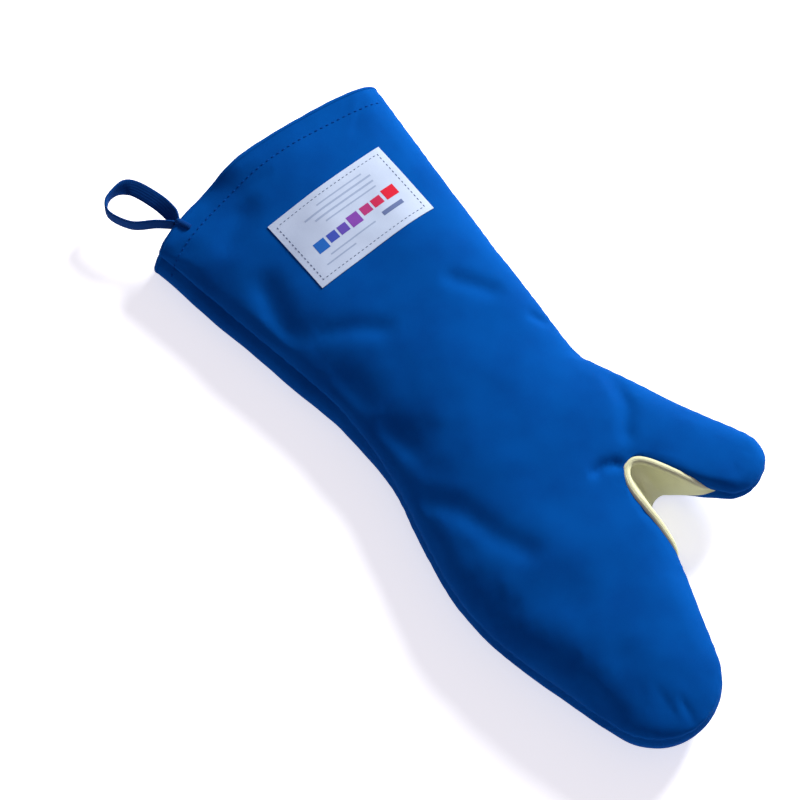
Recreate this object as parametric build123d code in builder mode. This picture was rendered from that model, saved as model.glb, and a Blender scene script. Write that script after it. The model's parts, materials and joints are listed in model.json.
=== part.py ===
"""Long insulated mitt for cold work: a padded gauntlet, a hand pocket with one common finger
pocket, and a thumb, lying palm down.

Row frame: +X points to the fingertips, +Y to the thumb side, +Z up through the back of the
hand. The origin is under the middle of the whole mitt, on the surface that it lies on.

Four layers make the wall: outer shell, moisture barrier, insulation and lining. Each layer is
cut from a back and a palm panel that meet at one seam. Soft hinges at the wrist, the fingers
and the thumb divide each panel into the stretches that move as one. A fold piece fills the
wedge that closes up when the mitt bends.
"""

from build123d import *
from math import atan2, degrees, radians, tan
import os

# ---------------------------------------------------------------- driving dimensions, in mm
THICK = 44.0  # whole mitt, palm face to back face, as it lies
ROUND = 17.0  # rounding of the long edges of the shell
SEAM_Z = 26.0  # height of the seam between back and palm panels, and of the soft hinges

SHELL, BARRIER, INSULATION, LINING = 1.2, 0.4, 6.0, 1.6  # layer thicknesses
WALL = SHELL + BARRIER + INSULATION + LINING
HEM_DEPTH = 3.0  # how far the inner plies stop short of the cuff's edge

# Plan of the shell: its corners in order, each with the radius that rounds it. The
# little-finger side is the -Y side.
CUFF_EDGE = [(-208.5, 57.0), (-209.0, -26.0), (-191.5, -90.0), (-180.0, -114.5)]
OPEN_END = 60.0  # how far the forms run out past the cuff before they are cut to it
FAR_SIDE = [((-150, -105.5), 200), ((-5, -71.5), 200), ((110, -91.0), 160)]
FINGERTIP = [((349, -20.5), 39.5)]
FINGER_EDGE = [((155, 32.5), 160)]
CROTCH = [((90.5, 45.0), 4.5)]
THUMB = [((139.5, 88.5), 20), ((119, 121.0), 20), ((5, 57.5), 55)]

# Soft hinges: a point on each, the way it runs in plan, and how far it bends each way
WRIST_AT, WRIST_WAY, WRIST_BEND = (-9.0, -9.0), 90.0, 30.0
FINGER_AT, FINGER_WAY, FINGER_CURL = (161.0, -25.0), 90.0, 70.0
THUMB_AT, THUMB_WAY, THUMB_FOLD = (61.0, 67.0), 167.2, 45.0
SPARE = 1.0  # each fold wedge opens this many degrees more than its hinge bends
SLIT = 0.15  # half of the cut between two stretches

# Web guard: a leaf that lines the fork between fingers and thumb
GUARD_HALF_HEIGHT = 17.0
FINGER_WING, THUMB_WING = 48.0, 51.0
GUARD_DEPTH = 15.0  # how far in from the fork's edge the guard can reach

# Label on the back of the gauntlet
LABEL_AT, LABEL_ANGLE = (-138.6, -6.3), 4.3
LABEL_LONG, LABEL_SHORT, LABEL_THICK = 85.0, 54.0, 0.5
LABEL_STITCH_INSET = 4.0

# Thread that shows
THREAD_WIDE, THREAD_HIGH = 0.8, 0.4
CUFF_STITCH_INSET = 12.0

# Hanging loop of flat tape, standing on its edge, and the tack that holds its ends. The loop
# turns about an upright line through the middle of its round inner end.
LOOP_AT, LOOP_WAY = (-201.0, -91.5), 205.0
LOOP_REACH, LOOP_HALF_WIDTH, TAPE_WIDE, TAPE_THICK = 46.2, 10.5, 10.0, 1.6
LOOP_Z = SEAM_Z - TAPE_WIDE / 2
TACK_LONG, TACK_WIDE = 14.0, 4.0
TACK_GAP = 0.3

BIG = 700.0  # reaches past the whole mitt


# ---------------------------------------------------------------- plan and forms
def plan_outline():
    """The shell's outline seen from above, with its open end run out past the cuff."""
    corners = FAR_SIDE + FINGERTIP + FINGER_EDGE + CROTCH + THUMB
    open_far = (CUFF_EDGE[-1][0] - OPEN_END, CUFF_EDGE[-1][1] - OPEN_END * 0.3)
    open_thumb = (CUFF_EDGE[0][0] - OPEN_END, CUFF_EDGE[0][1])
    with BuildSketch() as sketch:
        with BuildLine():
            Polyline(open_far, *[point for point, radius in corners], open_thumb, close=True)
        make_face()
        for point, radius in corners:
            fillet(sketch.vertices().sort_by_distance(point)[0], radius=radius)
    return sketch.sketch


OUTLINE = plan_outline()


def form(inset):
    """The solid inside the surface that lies inset below the shell's outer face."""
    with BuildPart() as solid:
        with BuildSketch(Plane.XY.offset(inset)):
            add(OUTLINE)
            if inset:
                offset(amount=-inset, kind=Kind.ARC)
        extrude(amount=THICK - 2 * inset)
        ends = solid.faces().sort_by(Axis.X)[0].edges()
        rims = solid.faces().sort_by(Axis.Z)[0].edges() + solid.faces().sort_by(Axis.Z)[-1].edges()
        fillet([rim for rim in rims if rim not in ends], radius=ROUND - inset)
    return solid.part


def inside_cuff(shift):
    """Everything on the hand's side of the cuff's edge, once that edge is moved in by shift."""
    edge = [(x + shift, y) for x, y in CUFF_EDGE]
    first = (edge[0][0], edge[0][1] + BIG)
    last = (edge[-1][0] + BIG * 0.4, edge[-1][1] - BIG)
    with BuildPart() as region:
        with BuildSketch(Plane.XY.offset(-BIG / 2)):
            with BuildLine():
                Spline(*edge, tangents=[(0, -1), (0.4, -1)])
                Polyline(edge[-1], last, (BIG, -BIG), (BIG, BIG), first, edge[0])
            make_face()
        extrude(amount=BIG)
    return region.part


def hollow(outer, inner, shift):
    """The ply between two forms, cut to the cuff's edge moved in by shift."""
    with BuildPart() as ply:
        add(outer)
        add(inner, mode=Mode.SUBTRACT)
        add(inside_cuff(shift), mode=Mode.INTERSECT)
    return ply.part


# ---------------------------------------------------------------- regions that cut the plies
def hinge_region(at, way, palm_bend, back_bend, part):
    """One region beside a soft hinge, in profile across it.

    part is "before" or "beyond" the hinge, or the "palm" or "back" wedge between them. The
    hinge runs along way, and beyond lies on its right.
    """
    palm_lean = tan(radians(palm_bend + SPARE) / 2) if palm_bend else 0
    back_lean = tan(radians(back_bend + SPARE) / 2) if back_bend else 0
    palm, palm_foot = (SLIT + palm_lean * BIG, -BIG), (BIG, -BIG)
    back, back_head = (SLIT + back_lean * BIG, BIG), (BIG, BIG)
    profiles = {
        "beyond": [(SLIT, 0), palm, palm_foot, back_head, back],
        "before": [(-SLIT, 0), (-palm[0], -BIG), (-BIG, -BIG), (-BIG, BIG), (-back[0], BIG)],
        "palm": [(0, -SLIT), (palm[0] - 2 * SLIT, -BIG), (2 * SLIT - palm[0], -BIG)],
        "back": [(0, SLIT), (back[0] - 2 * SLIT, BIG), (2 * SLIT - back[0], BIG)],
    }
    across = Vector(1, 0).rotate(Axis.Z, way - 90)
    along = Vector(1, 0).rotate(Axis.Z, way)
    profile_plane = Plane(origin=(*at, SEAM_Z), x_dir=across, z_dir=-along)
    with BuildPart() as region:
        with BuildSketch(profile_plane):
            Polygon(*profiles[part], align=None)
        extrude(amount=BIG, both=True)
    return region.part


def both(*regions):
    """What several regions share."""
    with BuildPart() as shared:
        add(regions[0])
        for region in regions[1:]:
            add(region, mode=Mode.INTERSECT)
    return shared.part


WRIST = (WRIST_AT, WRIST_WAY, WRIST_BEND, WRIST_BEND)
FINGERS = (FINGER_AT, FINGER_WAY, FINGER_CURL, 0)
THUMB_HINGE = (THUMB_AT, THUMB_WAY, THUMB_FOLD, 0)
STRETCHES = {
    "gauntlet": hinge_region(*WRIST, "before"),
    "hand": both(
        hinge_region(*WRIST, "beyond"),
        hinge_region(*FINGERS, "before"),
        hinge_region(*THUMB_HINGE, "before"),
    ),
    "fingers": hinge_region(*FINGERS, "beyond"),
    "thumb": hinge_region(*THUMB_HINGE, "beyond"),
}
FOLDS = {
    "wrist_fold": hinge_region(*WRIST, "palm"),
    "wrist_back_fold": hinge_region(*WRIST, "back"),
    "finger_fold": hinge_region(*FINGERS, "palm"),
    "thumb_fold": hinge_region(*THUMB_HINGE, "palm"),
}


def half_space(above):
    """Everything above the seam's height, or everything below it."""
    with BuildPart() as half:
        with BuildSketch(Plane.XY.offset(SEAM_Z)):
            Rectangle(2 * BIG, 2 * BIG)
        extrude(amount=BIG if above else -BIG)
    return half.part


def wing(reach, way):
    """The forms that one wing of the web guard is cut with: half a leaf, along the fork's edge."""
    along = Vector(1, 0).rotate(Axis.Z, way)
    side_plane = Plane(origin=(*CROTCH[0][0], SEAM_Z), x_dir=along, z_dir=along.rotate(Axis.Z, -90))
    low, high = -GUARD_HALF_HEIGHT - 3.0, GUARD_HALF_HEIGHT - 2.0
    with BuildPart() as leaf:
        with BuildSketch(side_plane):
            with BuildLine():
                Polyline((-GUARD_DEPTH, low), (-GUARD_DEPTH, high), (0, high))
                ThreePointArc((0, high), (reach * 0.55, high * 0.6), (reach, 0))
                ThreePointArc((reach, 0), (reach * 0.55, low * 0.6), (0, low))
                Line((0, low), (-GUARD_DEPTH, low))
            make_face()
        extrude(amount=GUARD_DEPTH, both=True)
    return leaf.part


# ---------------------------------------------------------------- pieces
os.makedirs("parts", exist_ok=True)


def hand_in(part, label):
    """Writes one piece out as its own file."""
    part.label = label
    export_step(part, f"parts/{label}.step")


FORMS = {inset: form(inset) for inset in (0, SHELL, SHELL + BARRIER, WALL - LINING, WALL)}
PLIES = {
    "shell": hollow(FORMS[0], FORMS[SHELL], HEM_DEPTH),
    "barrier": hollow(FORMS[SHELL], FORMS[SHELL + BARRIER], HEM_DEPTH),
    "insulation": hollow(FORMS[SHELL + BARRIER], FORMS[WALL - LINING], HEM_DEPTH),
    "lining": hollow(FORMS[WALL - LINING], FORMS[WALL], HEM_DEPTH),
}
ABOVE, BELOW = half_space(True), half_space(False)
PANELS = {"back": ABOVE, "palm": BELOW}
finger_way = degrees(atan2(FINGER_EDGE[0][0][1] - CROTCH[0][0][1], FINGER_EDGE[0][0][0] - CROTCH[0][0][0]))
thumb_way = degrees(atan2(THUMB[0][0][1] - CROTCH[0][0][1], THUMB[0][0][0] - CROTCH[0][0][0]))

# Thread of the row of stitches that holds the cuff's turned edge, let into the shell
with BuildPart() as cuff_stitching:
    add(FORMS[0])
    add(form(THREAD_HIGH), mode=Mode.SUBTRACT)
    add(inside_cuff(CUFF_STITCH_INSET), mode=Mode.INTERSECT)
    add(inside_cuff(CUFF_STITCH_INSET + THREAD_WIDE), mode=Mode.SUBTRACT)
hand_in(cuff_stitching.part, "cuff_stitching")

# Turned edge of the shell, which closes the wall round the cuff's mouth
with BuildPart() as cuff_hem:
    add(FORMS[0])
    add(FORMS[WALL], mode=Mode.SUBTRACT)
    add(inside_cuff(0), mode=Mode.INTERSECT)
    add(inside_cuff(HEM_DEPTH), mode=Mode.SUBTRACT)
hand_in(cuff_hem.part, "cuff_hem")

# Web guard, cut out of the shell's thickness
with BuildPart() as web_guard:
    add(wing(FINGER_WING, finger_way))
    add(wing(THUMB_WING, thumb_way))
    add(PLIES["shell"], mode=Mode.INTERSECT)
hand_in(both(web_guard.part, STRETCHES["hand"]), "web_guard_finger_wing")
hand_in(both(web_guard.part, STRETCHES["thumb"]), "web_guard_thumb_wing")
hand_in(both(web_guard.part, FOLDS["thumb_fold"]), "web_guard_fold")

with BuildPart() as shell:
    add(PLIES["shell"])
    add(web_guard.part, mode=Mode.SUBTRACT)
    add(cuff_stitching.part, mode=Mode.SUBTRACT)
PLIES["shell"] = shell.part

# The barrier is one film glove. The other plies are each sewn up from a back and a palm panel.
for name, ply in PLIES.items():
    for fold, wedge in FOLDS.items():
        hand_in(both(ply, wedge), f"{name}_{fold}")
    for stretch, region in STRETCHES.items():
        if name == "barrier":
            hand_in(both(ply, region), f"{name}_{stretch}")
            continue
        for panel, half in PANELS.items():
            hand_in(both(ply, region, half), f"{name}_{panel}_{stretch}")

# Label and the thread round its border, flat on the back of the gauntlet
with BuildPart() as label:
    with BuildSketch(Plane(origin=(*LABEL_AT, THICK), z_dir=(0, 0, 1)).rotated((0, 0, LABEL_ANGLE))):
        Rectangle(LABEL_SHORT, LABEL_LONG)
    extrude(amount=LABEL_THICK)
hand_in(label.part, "label")

label_top = Plane(origin=(*LABEL_AT, THICK + LABEL_THICK), z_dir=(0, 0, 1)).rotated((0, 0, LABEL_ANGLE))
with BuildPart() as label_stitching:
    with BuildSketch(label_top):
        Rectangle(LABEL_SHORT - 2 * LABEL_STITCH_INSET, LABEL_LONG - 2 * LABEL_STITCH_INSET)
        inner = LABEL_STITCH_INSET + THREAD_WIDE
        Rectangle(LABEL_SHORT - 2 * inner, LABEL_LONG - 2 * inner, mode=Mode.SUBTRACT)
    extrude(amount=THREAD_HIGH)
hand_in(label_stitching.part, "label_stitching")

# Hanging loop: a long eye of tape that narrows to its tack
loop_along = Vector(1, 0).rotate(Axis.Z, LOOP_WAY)
loop_plane = Plane(origin=(*LOOP_AT, LOOP_Z), x_dir=loop_along, z_dir=(0, 0, 1))
with BuildPart() as hang_loop:
    with BuildSketch(loop_plane):
        with Locations((LOOP_REACH - LOOP_HALF_WIDTH, 0)):
            Circle(LOOP_HALF_WIDTH)
        with Locations((TACK_GAP + TACK_WIDE / 2, 0)):
            Circle(TACK_WIDE / 2)
        make_hull()
        offset(amount=-TAPE_THICK, mode=Mode.SUBTRACT)
    extrude(amount=TAPE_WIDE)
hand_in(hang_loop.part, "hang_loop")

# Tack: the loop's sewn ends, between the loop and the cuff's edge
with BuildPart() as loop_tack:
    with BuildSketch(loop_plane):
        with Locations((-TACK_LONG / 2, 0)):
            Rectangle(TACK_LONG, TACK_WIDE)
    extrude(amount=TAPE_WIDE)
    add(inside_cuff(0), mode=Mode.SUBTRACT)
hand_in(loop_tack.part, "hang_loop_tack")
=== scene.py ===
import json
import math

import bmesh
import bpy
import numpy as np
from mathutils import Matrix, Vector, bvhtree, geometry, kdtree, noise


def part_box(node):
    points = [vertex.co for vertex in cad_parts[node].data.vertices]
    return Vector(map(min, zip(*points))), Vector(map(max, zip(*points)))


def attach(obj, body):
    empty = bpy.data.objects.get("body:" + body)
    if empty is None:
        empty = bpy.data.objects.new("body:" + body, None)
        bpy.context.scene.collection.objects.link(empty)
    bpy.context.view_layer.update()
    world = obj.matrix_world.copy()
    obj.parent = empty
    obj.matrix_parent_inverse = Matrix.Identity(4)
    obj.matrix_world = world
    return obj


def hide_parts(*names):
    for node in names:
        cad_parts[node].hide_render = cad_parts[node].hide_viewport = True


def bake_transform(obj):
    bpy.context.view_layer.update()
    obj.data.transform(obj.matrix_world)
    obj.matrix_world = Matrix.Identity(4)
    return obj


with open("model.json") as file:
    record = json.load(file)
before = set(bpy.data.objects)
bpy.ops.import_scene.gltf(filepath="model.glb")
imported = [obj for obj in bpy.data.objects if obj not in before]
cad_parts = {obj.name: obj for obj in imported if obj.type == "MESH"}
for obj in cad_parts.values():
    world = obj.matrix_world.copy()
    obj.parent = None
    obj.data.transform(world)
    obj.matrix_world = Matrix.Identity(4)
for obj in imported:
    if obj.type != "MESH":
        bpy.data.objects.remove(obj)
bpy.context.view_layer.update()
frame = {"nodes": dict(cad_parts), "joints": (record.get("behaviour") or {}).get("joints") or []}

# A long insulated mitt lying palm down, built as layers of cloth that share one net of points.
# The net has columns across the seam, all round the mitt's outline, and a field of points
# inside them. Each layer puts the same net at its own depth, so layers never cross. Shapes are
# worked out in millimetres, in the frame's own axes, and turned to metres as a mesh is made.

# ---------------------------------------------------------------- dimensions, in mm
SPACING = 4.0  # between neighbouring points of the net
BAND = 13.0  # width in plan of the columns, from the outline inwards
EDGE_POWER = 2.3  # of the superellipse that the side walls follow

CUFF_EDGE = [(-208.5, 60.0), (-211.5, -20.0), (-198.5, -90.0), (-186.0, -118.0)]
CORNERS = [  # of the outline in plan, each with the radius that rounds it
    ((-150, -110), 200),  # little-finger side, from the cuff on
    ((-5, -76.5), 200),
    ((110, -95), 160),
    ((338.5, -22), 39),  # fingertips
    ((155, 30.5), 160),  # finger side of the fork
    ((91.5, 41.5), 4.5),  # the fork
    ((145, 86), 20),  # thumb's tip, both of its corners
    ((123.5, 121), 20),
    ((10, 58), 45),  # thumb's root
]
FORK = np.array([95.5, 42.5])
THUMB_ROOT, THUMB_TIP = np.array([60.0, 60.0]), np.array([128.0, 108.0])
THUMB_LIFT = 17.0  # of the palm side at the thumb's tip

# Heights of the waist, which is the widest contour: far side is the little finger's
WAIST_FAR, WAIST_NEAR, WAIST_THUMB, WAIST_INNER, WAIST_TIP = 16.0, 26.0, 21.0, 28.0, 25.0
SEAM_Z = 27.0  # height of the seam
FAR_SEAM_DROP, FAR_HAND_DROP = 5.0, 3.5  # how much lower it is on the far side, and then on the hand
SEAM_GROOVE, GROOVE_SPREAD = 2.6, 5.0  # depth, and half width in degrees round the wall
FAR_SEAM_INSET = 6.0  # how far in the gauntlet's far side is drawn at its seam
INSET_ABOVE, INSET_BELOW = 26.0, 17.0  # how far round the wall that reaches, in degrees
# Widths of the side walls' rounding, above the waist and below it
FAR_ROUND, NEAR_ROUND, THUMB_ROUND, FORK_ROUND = (44.0, 24.0), (32.0, 22.0), (22.0, 30.0), (8.0, 5.0)
FINGER_LEAN = 11.0  # more rounding above the waist, on the finger side of the fork

KNOT_REACH, COLUMN_REACH = 20.0, 3.0  # distances that soften the mixing of knots and of columns
BACK_HEIGHT = 42.0  # typical, over the floor
BACK_KNOTS = [  # x, y and height of the back
    (-205, 40, 41), (-205, -25, 42), (-195, -85, 29),
    (-140, 25, 43), (-140, -20, 42), (-140, -60, 36), (-140, -90, 27),
    (-70, 25, 43), (-70, -15, 42), (-70, -50, 36), (-70, -78, 28),
    (-10, 25, 42), (-10, -20, 41), (-10, -58, 32),
    (50, 20, 43), (50, -20, 42), (50, -60, 35), (60, 70, 41),
    (110, -20, 44), (110, -65, 39), (92, 42, 43), (115, 98, 40),
    (170, -20, 43), (225, -20, 39),
]

GUARD_FINGER, GUARD_THUMB = 56.0, 42.0  # lengths of the web guard's two wings
GUARD_TOP, GUARD_LOW = 52.0, 62.0  # how far up and down the walls it reaches, in degrees
WEB_UP, WEB_DOWN = np.array([9.0, 5.0]), np.array([10.0, 6.5])  # how far the web leans back and out
WEB_REACH = 16.0  # along the outline from the fork

SHELL, BARRIER, BATT_DEPTH, LINING = 1.2, 0.4, 6.0, 1.6  # layers' thicknesses
WALL = SHELL + BARRIER + BATT_DEPTH + LINING
SLEEVE_CUT, TIP_CUT = 17.0, 108.0  # in x, where the layers' pieces meet

SETTLE_FRAMES, SETTLE_LIMIT = 20, 4.0  # of the cloth simulation: its length and its furthest move
CREASES = [  # soft valleys in the back: depth, half width, and the places that each runs through
    (2.0, 9.0, [(-187, -43), (-173, -69), (-161, -86)]),
    (2.8, 9.0, [(-145, -68), (-115, -77), (-84, -80)]),
    (2.0, 7.0, [(-90, -70), (-77, -46), (-58, -24)]),
    (2.2, 9.0, [(-68, -68), (-22, -66)]),
    (2.4, 9.0, [(-26, -68), (20, -56)]),
    (2.5, 8.5, [(28, -78), (55, -60), (82, -53), (114, -38)]),
    (1.8, 6.0, [(-76, 14), (-42, 42)]),
    (2.0, 3.5, [(-28, 45), (-12, 54)]),
    (2.0, 3.5, [(5, 52), (18, 62)]),
    (2.2, 5.5, [(28, 64), (57, 59), (80, 41)]),
    (3.0, 3.6, [(90, 36), (84, 30), (82, 23), (84, 12)]),
    (1.8, 15.0, [(112, -56), (162, -32)]),
    (1.2, 12.0, [(168, -42), (203, -30)]),
]
WIDE_HILLS, NARROW_HILLS = (38, 1.1), (13, 0.35)  # size and height of the padding's unevenness
PUCKER_PERIOD, PUCKER_DEPTH, PUCKER_REACH = 9.0, 0.2, 6.0

HEM_DEPTH, HEM_SIDES = 3.2, 12
HEM_LAP, HEM_SPREAD = 0.15, 1.03  # radians that it goes past half a turn, and its spread over the wall
HEM_RIPPLES = ((0.12, 1.9), (0.2, 0.45))  # height of each, and radians from one ring to the next
CUFF_STITCH_INSET = 12.0
STITCH_STEP, STITCH_SUNK = 0.5, 0.1  # between a stitch's points, and how deep its ends lie
GUARD_ROLL, GUARD_ROLL_SIDES = 2.6, 12
GUARD_ROLL_EVENING = 12  # rounds of evening its line
ROLL_GRAIN = 1.2  # cloth from one side of a roll's section to the next
LABEL_AT, LABEL_TURN, LABEL_SIZE = (-138.6, -6.3), 4.3, (54.0, 85.0)  # middle, degrees, and sides
LABEL_STITCH_INSET = 4.0
INK, FAINT_INK = (0.12, 0.16, 0.30), (0.30, 0.37, 0.50)
PRINT = [  # bars on the label: place along it and across it, width, length and colour
    (-18, 5, 1.0, 34, FAINT_INK),
    (-14, 1, 1.3, 50, FAINT_INK),
    (-10, 3, 1.3, 44, FAINT_INK),
    (-6, 5, 1.0, 38, FAINT_INK),
    (2.5, 28, 7.5, 9, (0.56, 0.02, 0.04)),  # a row that goes from red to blue
    (3, 18, 6.0, 7, (0.50, 0.03, 0.08)),
    (3, 9.5, 6.0, 7, (0.38, 0.04, 0.16)),
    (4, 0, 8.0, 8, (0.20, 0.06, 0.34)),
    (4.5, -9, 6.0, 6.5, (0.11, 0.07, 0.36)),
    (4.5, -17, 6.0, 6.5, (0.05, 0.08, 0.38)),
    (5, -26, 7.5, 8, (0.02, 0.12, 0.42)),
    (12, 23, 3.0, 15, INK),
    (13, -8, 1.0, 34, FAINT_INK),
    (17, -20, 1.0, 22, FAINT_INK),
]
PRINT_UNDER, PRINT_TOP = 0.45, 0.56  # heights over the shell
LABEL_UNDER, LABEL_TOP = -0.3, 0.5
TAPE_WIDTH, TAPE_THICK = 10.0, 1.6
TAPE_SIDES, TAPE_POWER = 16, 5  # of its section, a superellipse that is nearly a rectangle
BAR_STEP = 1.5  # between the rings of a long bar
TACK_TURN, TACK_LONG, TACK_THICK, TACK_RINGS = 25.0, 13.0, 4.0, 9
LOOP = [  # x, y and z of the tape's middle, then the direction across it
    (-201.5, -90.9, 24, 0.1, -0.3, -1.0),
    (-210, -90.5, 23, 0.25, -0.85, -0.6),
    (-223, -92.5, 21, 0.25, -0.85, -0.3),
    (-240.5, -99.0, 18, 0.25, -0.85, -0.3),
    (-245, -107.5, 17, 0.1, -0.5, -0.8),
    (-242, -117.0, 17, 0, 0, -1),
    (-233, -120.5, 17, 0, 0, -1),
    (-218.5, -113.5, 19, 0, 0, -1),
    (-209.5, -101.5, 22, 0, 0, -1),
    (-201.5, -92.6, 24, 0, 0, -1),
]

FLOOR_HALF, FLOOR_Z = 2500.0, -0.6
VIEW_AZIMUTH, VIEW_ELEVATION = 55.9, 64.6  # from beyond the little finger, looking down
VIEW_CENTRE, VIEW_WIDTH, VIEW_DISTANCE = (-0.0297, -0.0441, 0.0183), 0.4773, 2.4

MM = 0.001


def smoothstep(low, high, value):
    """0 below low, 1 above high and smooth between them."""
    t = np.clip((value - low) / (high - low), 0.0, 1.0)
    return t * t * (3.0 - 2.0 * t)


def unit(ways):
    """One direction, or an array of them, at length 1."""
    return ways / np.linalg.norm(ways, axis=-1, keepdims=True)


def travelled(path):
    """How far along a path each of its points is."""
    return np.concatenate([[0], np.cumsum(np.linalg.norm(np.diff(path, axis=0), axis=1))])


# ---------------------------------------------------------------- the outline in plan
def cuff_x(y):
    """Where the cuff's edge is, at a distance y across it."""
    edge = np.array(CUFF_EDGE)
    return np.polyval(np.polyfit(edge[:, 1], edge[:, 0], 3), y)


def rounded_path(start, corners, end):
    """Points along a path from start to end whose corners are rounded, about SPACING apart."""
    knots = [np.array(place, float) for place in (start, *(corner for corner, _ in corners), end)]
    path = [knots[0]]
    for knot, (corner, radius) in enumerate(corners, start=1):
        back, ahead = unit(knots[knot - 1] - knots[knot]), unit(knots[knot + 1] - knots[knot])
        half = math.acos(np.clip(back @ ahead, -1, 1)) / 2
        reach = radius / math.tan(half)
        centre = knots[knot] + unit(back + ahead) * radius / math.sin(half)
        first, last = knots[knot] + back * reach, knots[knot] + ahead * reach
        path += straight(path[-1], first)
        turn = math.pi - 2 * half
        steps = max(2, math.ceil(max(radius * turn / SPACING, turn / math.radians(13))))
        a0 = math.atan2(*(first - centre)[::-1])
        a1 = math.atan2(*(last - centre)[::-1])
        sweep = (a1 - a0 + math.pi) % (2 * math.pi) - math.pi
        for step in range(1, steps + 1):
            angle = a0 + sweep * step / steps
            path.append(centre + radius * np.array([math.cos(angle), math.sin(angle)]))
    path += straight(path[-1], knots[-1])
    return np.array(path)


def straight(start, end):
    """Points from just after start to end, about SPACING apart."""
    steps = max(1, round(np.linalg.norm(end - start) / SPACING))
    return [start + (end - start) * step / steps for step in range(1, steps + 1)]


RIM = rounded_path(CUFF_EDGE[-1], CORNERS, CUFF_EDGE[0])
COLUMNS = len(RIM)
ALONG = unit(np.gradient(RIM, axis=0))
INWARD = np.stack([-ALONG[:, 1], ALONG[:, 0]], axis=1)
SWUNG = 8  # columns next to the cuff, which swing round to run along its edge
for corner, towards in ((CUFF_EDGE[-1], 1), (CUFF_EDGE[0], -1)):
    over = towards * BAND
    edge_way = np.array([cuff_x(corner[1] + over) - cuff_x(corner[1]), over])
    for away in range(SWUNG):
        column = away if towards > 0 else -1 - away
        share = 1 - smoothstep(0, SWUNG, away)
        INWARD[column] = unit(INWARD[column] * (1 - share) + unit(edge_way) * share)
TRAVEL = travelled(RIM)

fork_column = int(np.argmin(np.linalg.norm(RIM - FORK, axis=1)))
from_fork = TRAVEL - TRAVEL[fork_column]  # along the outline: fingers negative, thumb positive
# How far each column belongs to a part of the outline, changing between two distances in mm
near_fork = 1 - smoothstep(35, 70, np.abs(from_fork))
at_web = np.exp(-((from_fork / WEB_REACH) ** 2))
on_thumb = smoothstep(25, 60, from_fork) * (1 - smoothstep(150, 190, from_fork))
in_fork = smoothstep(15, 40, from_fork) * (1 - smoothstep(80, 105, from_fork))
near_side = smoothstep(-30, 20, RIM[:, 1])
at_tip = smoothstep(190, 235, RIM[:, 0])
WAIST = WAIST_FAR + (WAIST_NEAR - WAIST_FAR) * near_side
for height, share in ((WAIST_THUMB, on_thumb), (WAIST_INNER, in_fork), (WAIST_TIP, at_tip)):
    WAIST = WAIST + (height - WAIST) * share


def rounding(far, near, thumb, fork):
    """Each column's width of rounding, from those of the places that it is between."""
    width = far + (near - far) * near_side
    width = width + (thumb - width) * on_thumb
    return width + (fork - width) * near_fork


round_widths = zip(FAR_ROUND, NEAR_ROUND, THUMB_ROUND, FORK_ROUND)
ROUND_UP, ROUND_LOW = (rounding(*widths) for widths in round_widths)
ROUND_UP = ROUND_UP + FINGER_LEAN * smoothstep(0, 14, -from_fork) * near_fork
far_side = np.where(RIM[:, 1] < 0, 1 - smoothstep(195, 240, RIM[:, 0]), 0.0)
far_sleeve = far_side * (1 - smoothstep(-60, 20, RIM[:, 0]))


def by_place(plan, knots):
    """A value that changes smoothly over the plan, from knots of x, y and value."""
    knots = np.array(knots, float)
    gap = ((plan[:, None, :] - knots[None, :, :2]) ** 2).sum(axis=2)
    weight = 1.0 / (gap + KNOT_REACH**2) ** 2
    return (weight * knots[:, 2]).sum(axis=1) / weight.sum(axis=1)


# ---------------------------------------------------------------- the net of points
WALL_END = 88.0  # degrees over the waist, where a wall is as good as level


def wall_point(columns, angle, depth):
    """Points of the side wall at an angle above the waist, for columns of the net."""
    angle = np.broadcast_to(angle, columns.shape)
    c = np.cos(angle) ** (2 / EDGE_POWER)
    s = np.sign(angle) * np.abs(np.sin(angle)) ** (2 / EDGE_POWER)
    width = np.where(angle > 0, ROUND_UP[columns], ROUND_LOW[columns])
    in_plan = depth + np.maximum(width - depth, 1) * (1 - c)
    short = np.maximum(BAND - np.maximum(width, depth + 1), 0)
    in_plan = in_plan + short * smoothstep(60, WALL_END, np.degrees(np.abs(angle)))
    off_seam = np.degrees(angle) - seam_angle[columns]
    groove = SEAM_GROOVE * np.exp(-(off_seam / GROOVE_SPREAD) ** 2) * (1 - guard_share[columns])
    spread = np.where(off_seam > 0, INSET_ABOVE, INSET_BELOW)
    inset = FAR_SEAM_INSET * far_sleeve[columns] * np.exp(-(off_seam / spread) ** 2)
    plan = RIM[columns] + INWARD[columns] * (in_plan + groove + inset)[:, None]
    kept = 1 - smoothstep(GUARD_TOP, WALL_END, np.degrees(angle))
    web = np.where(s[:, None] > 0, -WEB_UP, WEB_DOWN) * (np.abs(s) * kept)[:, None]
    plan = plan + web * at_web[columns][:, None]
    waist = WAIST[columns]
    height = np.where(s > 0, (by_place(plan, BACK_KNOTS) - waist - depth) * s, (waist - depth) * s)
    return np.column_stack([plan, waist + height])


seam_drop = FAR_SEAM_DROP * far_side + FAR_HAND_DROP * (far_side - far_sleeve)
seam_rise = np.clip((SEAM_Z - seam_drop - WAIST) / (BACK_HEIGHT - WAIST), 0.01, 1)
seam_angle = np.degrees(np.arcsin(seam_rise ** (EDGE_POWER / 2)))
reach = np.where(from_fork < 0, -from_fork / GUARD_FINGER, from_fork / GUARD_THUMB)
guard_share = np.clip(1 - reach**3, 0, 1)
back_start = np.radians(seam_angle + (GUARD_TOP - seam_angle) * guard_share)
palm_start = np.radians(seam_angle - (GUARD_LOW + seam_angle) * guard_share)
BACK_ROWS, PALM_ROWS, GUARD_ROWS = 6, 8, 6


def band_end(width):
    """The angle at which a wall of this rounding is BAND in from the outline."""
    return np.arccos(np.clip(1 - BAND / width, 0.02, 1) ** (EDGE_POWER / 2))


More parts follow.
